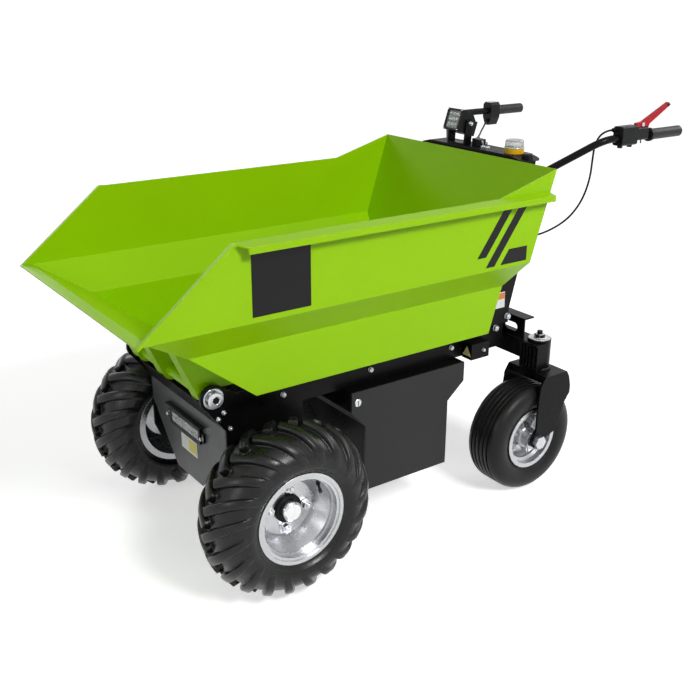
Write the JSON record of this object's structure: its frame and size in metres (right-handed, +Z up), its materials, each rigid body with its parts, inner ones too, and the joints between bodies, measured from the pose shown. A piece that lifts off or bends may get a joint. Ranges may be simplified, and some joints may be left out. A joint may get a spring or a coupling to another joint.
{
  "type": "walk-behind mini dumper",
  "caption": "Pedestrian-controlled electric dumper: forward-tipping sheet-metal tub on a low frame, lug-tyred driven wheels in front, swivel casters and handlebars behind.",
  "frame": {"origin": "on the floor, under the middle of the machine's box", "axes": "+X forwards, the way the tub tips, +Y to the driver's left, +Z up"},
  "size_m": [1.514, 0.73, 0.9605],
  "materials": {
    "tub_paint": "gloss powder coat, apple green",
    "frame_paint": "semi-gloss black powder coat",
    "cover_paint": "satin mid-grey paint",
    "box_paint": "satin charcoal powder coat",
    "front_tyre": "matt black rubber with chevron lugs",
    "caster_tyre": "matt black rubber with ribs",
    "rim_silver": "silver paint",
    "hub_chrome": "bright plated",
    "zinc": "zinc plated",
    "axle_iron": "black painted casting",
    "battery_case": "moulded case",
    "lamp_case": "ribbed die-cast look, black",
    "lamp_lens": "clear lens",
    "panel_black": "fine-grained black",
    "beacon_yellow": "yellow moulded base",
    "beacon_clear": "clear ribbed dome",
    "grip_rubber": "knurled rubber",
    "control_plastic": "moulded control housing",
    "lever_red": "red plastic lever",
    "cable_sheath": "smooth black sheath"
  },
  "bodies": {
    "root": {"rails": "frame_paint", "cross_tubes": "frame_paint", "outriggers": "frame_paint", "side_plates": "frame_paint", "tip_shaft": "zinc", "front_cover": "cover_paint", "front_upper_cover": "frame_paint", "front_lamp": "lamp_case", "front_lamp_lens": "lamp_lens", "drive_axle": "axle_iron", "drive_motor": "axle_iron", "battery_box": "frame_paint", "battery_covers": "box_paint", "batteries": "battery_case", "rear_beam": "frame_paint", "kingpin_housings": "frame_paint", "lashing_brackets": "frame_paint", "control_tower": "frame_paint", "control_panel": "panel_black", "cable_gland": "control_plastic", "beacon_base": "beacon_yellow", "beacon_lens": "beacon_clear", "panel_knob": "control_plastic", "work_lamp": "lamp_case", "work_lamp_lens": "lamp_lens", "work_lamp_bracket": "frame_paint", "handlebars": "frame_paint", "grips": "grip_rubber", "brake_mount": "control_plastic", "brake_lever": "lever_red", "throttle": "control_plastic", "brake_cable": "cable_sheath", "throttle_cable": "cable_sheath", "cable_ferrules": "control_plastic"},
    "tub": {"tub_side_left": "tub_paint", "tub_side_right": "tub_paint", "tub_chute": "tub_paint", "tub_floor": "tub_paint", "tub_back": "tub_paint", "tub_rims": "tub_paint", "tub_hangers": "tub_paint"},
    "wheel_left": {"tyre_left": "front_tyre", "wheel_rim_left": "rim_silver", "wheel_hub_left": "hub_chrome"},
    "wheel_right": {"tyre_right": "front_tyre", "wheel_rim_right": "rim_silver", "wheel_hub_right": "hub_chrome"},
    "caster_left": {"caster_fork_left": "frame_paint", "caster_bolt_left": "zinc"},
    "caster_right": {"caster_fork_right": "frame_paint", "caster_bolt_right": "zinc"},
    "caster_wheel_left": {"caster_tyre_left": "caster_tyre", "caster_rim_left": "rim_silver"},
    "caster_wheel_right": {"caster_tyre_right": "caster_tyre", "caster_rim_right": "rim_silver"}
  },
  "joints": [
    {"name": "tub_tip", "type": "hinge", "parent": "root", "child": "tub", "pos_m": [0.546, 0, 0.438], "axis": [0, 1, 0], "range_deg": [0, 80]},
    {"name": "wheel_left_spin", "type": "hinge", "parent": "root", "child": "wheel_left", "pos_m": [0.439, 0.288, 0.198], "axis": [0, 1, 0], "continuous": true},
    {"name": "wheel_right_spin", "type": "hinge", "parent": "root", "child": "wheel_right", "pos_m": [0.439, -0.288, 0.198], "axis": [0, 1, 0], "continuous": true},
    {"name": "caster_left_swivel", "type": "hinge", "parent": "root", "child": "caster_left", "pos_m": [-0.356, 0.237, 0.316], "axis": [0, 0, 1], "continuous": true},
    {"name": "caster_wheel_left_spin", "type": "hinge", "parent": "caster_left", "child": "caster_wheel_left", "pos_m": [-0.308, 0.237, 0.142], "axis": [0, 1, 0], "continuous": true},
    {"name": "caster_right_swivel", "type": "hinge", "parent": "root", "child": "caster_right", "pos_m": [-0.356, -0.237, 0.316], "axis": [0, 0, 1], "continuous": true},
    {"name": "caster_wheel_right_spin", "type": "hinge", "parent": "caster_right", "child": "caster_wheel_right", "pos_m": [-0.308, -0.237, 0.142], "axis": [0, 1, 0], "continuous": true}
  ]
}
